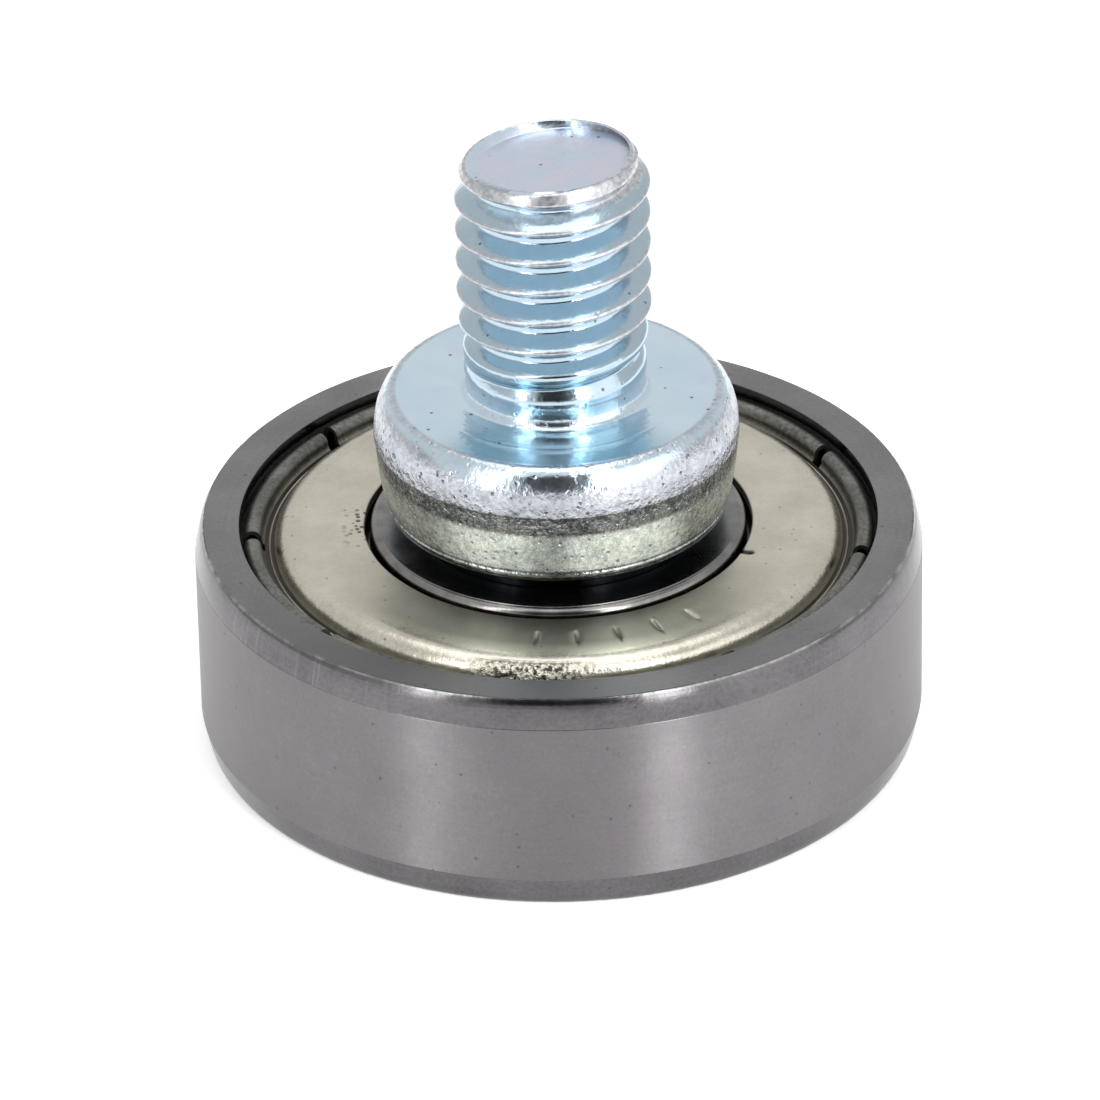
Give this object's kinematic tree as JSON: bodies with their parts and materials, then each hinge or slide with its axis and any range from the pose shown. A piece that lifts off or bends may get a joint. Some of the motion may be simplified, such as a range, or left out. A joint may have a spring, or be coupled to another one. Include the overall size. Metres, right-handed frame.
{
  "type": "cam follower",
  "caption": "Stud-type cam follower: a shielded ball bearing whose outer ring rolls, riveted under the round collar of a short zinc-plated stud with a coarse metric thread.",
  "frame": {"origin": "centre of the bearing's bottom face, on the stud's axis", "axes": "+Z along the stud from the bearing towards its threaded end"},
  "size_m": [0.022, 0.022, 0.0194],
  "materials": {
    "bearing_steel": "ground satin",
    "shield_steel": "pressed, satin nickel tone",
    "zinc_plate": "bright zinc with a blue passivate",
    "ball_steel": "mirror",
    "cage_steel": "pressed"
  },
  "bodies": {
    "stud": {"stud": "zinc_plate", "inner_ring": "bearing_steel"},
    "tread": {"outer_ring": "bearing_steel", "shield_upper": "shield_steel", "shield_lower": "shield_steel"},
    "cage": {"cage_upper": "cage_steel", "cage_lower": "cage_steel", "cage_rivet_1": "cage_steel", "cage_rivet_2": "cage_steel", "cage_rivet_3": "cage_steel", "cage_rivet_4": "cage_steel", "cage_rivet_5": "cage_steel", "cage_rivet_6": "cage_steel", "cage_rivet_7": "cage_steel"},
    "ball_1": {"ball_1": "ball_steel"},
    "ball_2": {"ball_2": "ball_steel"},
    "ball_3": {"ball_3": "ball_steel"},
    "ball_4": {"ball_4": "ball_steel"},
    "ball_5": {"ball_5": "ball_steel"},
    "ball_6": {"ball_6": "ball_steel"},
    "ball_7": {"ball_7": "ball_steel"}
  },
  "joints": [
    {"name": "tread_spin", "type": "hinge", "parent": "stud", "child": "tread", "pos_m": [0, 0, 0.0035], "axis": [0, 0, 1], "continuous": true},
    {"name": "cage_orbit", "type": "hinge", "parent": "stud", "child": "cage", "pos_m": [0, 0, 0.0035], "axis": [0, 0, 1], "continuous": true},
    {"name": "ball_1_spin", "type": "hinge", "parent": "cage", "child": "ball_1", "pos_m": [0.0075, 0, 0.0035], "axis": [0, 0, 1], "continuous": true},
    {"name": "ball_2_spin", "type": "hinge", "parent": "cage", "child": "ball_2", "pos_m": [0.00468, 0.00586, 0.0035], "axis": [0, 0, 1], "continuous": true},
    {"name": "ball_3_spin", "type": "hinge", "parent": "cage", "child": "ball_3", "pos_m": [-0.00167, 0.00731, 0.0035], "axis": [0, 0, 1], "continuous": true},
    {"name": "ball_4_spin", "type": "hinge", "parent": "cage", "child": "ball_4", "pos_m": [-0.00676, 0.00325, 0.0035], "axis": [0, 0, 1], "continuous": true},
    {"name": "ball_5_spin", "type": "hinge", "parent": "cage", "child": "ball_5", "pos_m": [-0.00676, -0.00325, 0.0035], "axis": [0, 0, 1], "continuous": true},
    {"name": "ball_6_spin", "type": "hinge", "parent": "cage", "child": "ball_6", "pos_m": [-0.00167, -0.00731, 0.0035], "axis": [0, 0, 1], "continuous": true},
    {"name": "ball_7_spin", "type": "hinge", "parent": "cage", "child": "ball_7", "pos_m": [0.00468, -0.00586, 0.0035], "axis": [0, 0, 1], "continuous": true}
  ],
  "couplings": [
    {"joint": "cage_orbit", "follows": "tread_spin", "ratio": 0.6323},
    {"joint": "ball_1_spin", "follows": "tread_spin", "ratio": 1.7573},
    {"joint": "ball_2_spin", "follows": "tread_spin", "ratio": 1.7573},
    {"joint": "ball_3_spin", "follows": "tread_spin", "ratio": 1.7573},
    {"joint": "ball_4_spin", "follows": "tread_spin", "ratio": 1.7573},
    {"joint": "ball_5_spin", "follows": "tread_spin", "ratio": 1.7573},
    {"joint": "ball_6_spin", "follows": "tread_spin", "ratio": 1.7573},
    {"joint": "ball_7_spin", "follows": "tread_spin", "ratio": 1.7573}
  ]
}
